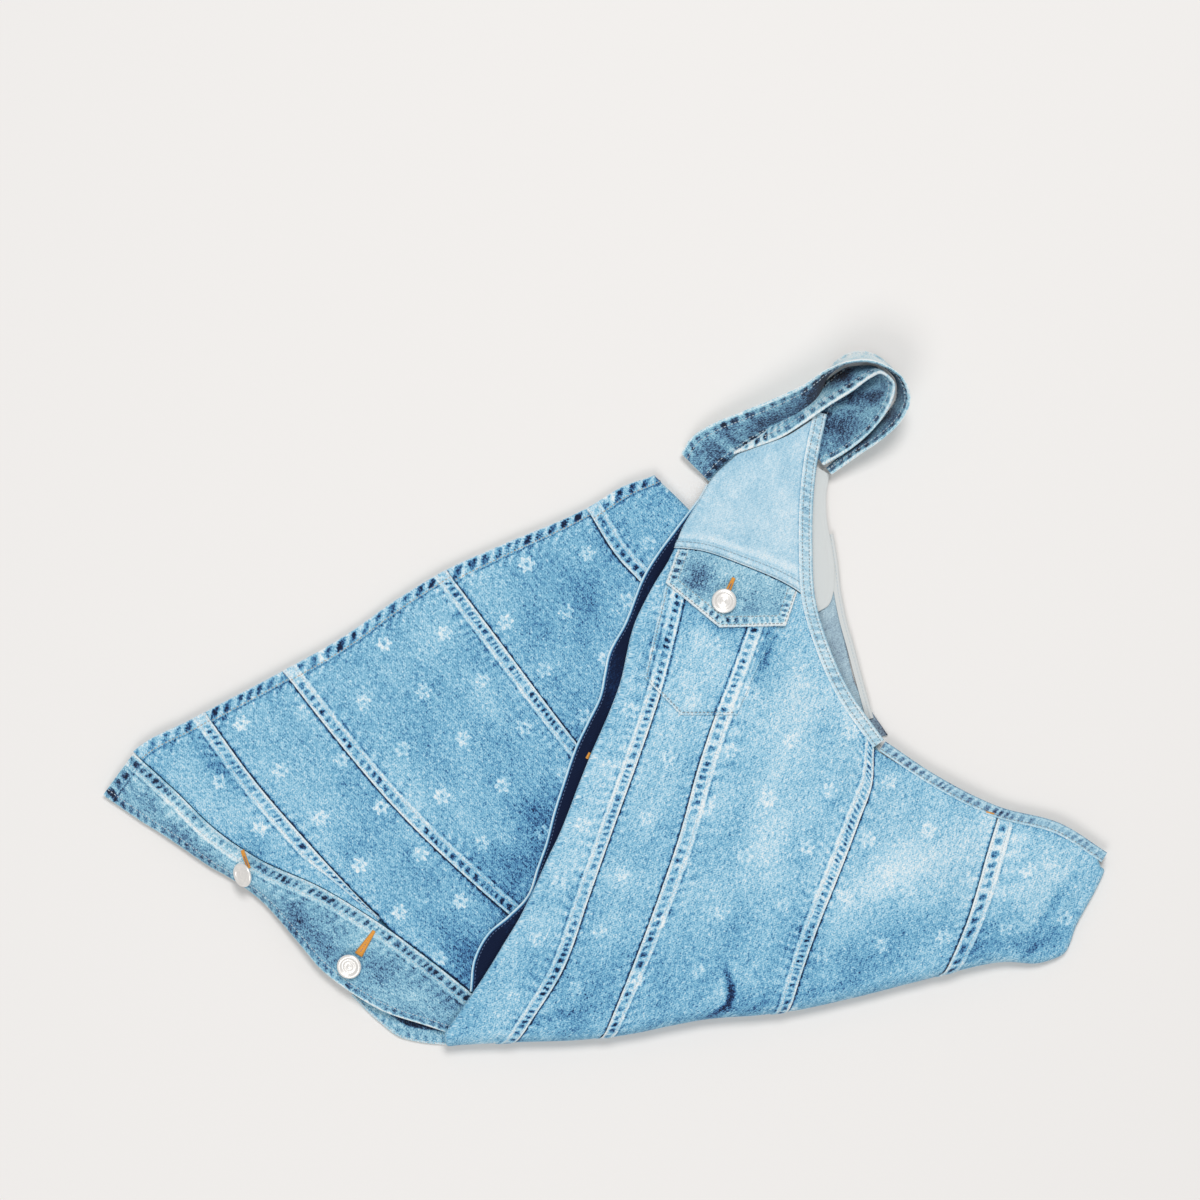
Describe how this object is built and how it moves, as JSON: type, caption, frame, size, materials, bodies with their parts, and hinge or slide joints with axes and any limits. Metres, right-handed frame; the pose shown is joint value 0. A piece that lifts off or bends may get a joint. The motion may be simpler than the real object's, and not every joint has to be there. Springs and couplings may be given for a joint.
{
  "type": "halter denim dress",
  "caption": "Short sleeveless halter dress in light washed denim with a collar, chest pocket and button front, laid on its side and folded once at the waist",
  "frame": {"origin": "on the surface the dress lies on, under the middle of its bounding box", "axes": "+Z up from the surface; +X to the right and +Y up as seen from above, with the skirt at the left, the waist fold along -Y and the collar at +Y"},
  "size_m": [0.7514, 0.5191, 0.0432],
  "materials": {
    "denim": "stone-washed mid blue denim twill with pale puckered seams",
    "pale_denim": "bleached pale blue denim twill",
    "dark_denim": "inside face of indigo denim",
    "white_cotton": "off-white woven cotton inner yoke",
    "button_metal": "satin pale nickel with plain concentric rings"
  },
  "bodies": {
    "root": {"skirt_placket": "denim", "skirt_front_panel": "denim", "skirt_side_front_panel": "denim", "skirt_side_panel": "denim", "skirt_side_back_panel": "denim", "skirt_back_panel": "denim", "bodice_front_panel": "denim", "bodice_side_front_panel": "denim", "bodice_side_panel": "denim", "bodice_side_back_panel": "denim", "bodice_back_panel": "denim", "yoke": "pale_denim", "chest_pocket": "denim", "pocket_flap": "denim", "armhole_binding": "pale_denim", "back_top_binding": "pale_denim", "far_placket": "dark_denim", "far_yoke": "white_cotton", "far_armhole_binding": "white_cotton", "far_side_panel": "dark_denim", "collar_stand": "denim", "collar_leaf": "denim", "under_wrap": "pale_denim", "button_hem": "button_metal", "button_skirt": "button_metal", "button_flap": "button_metal", "hidden_layers": "dark_denim"}
  },
  "joints": []
}
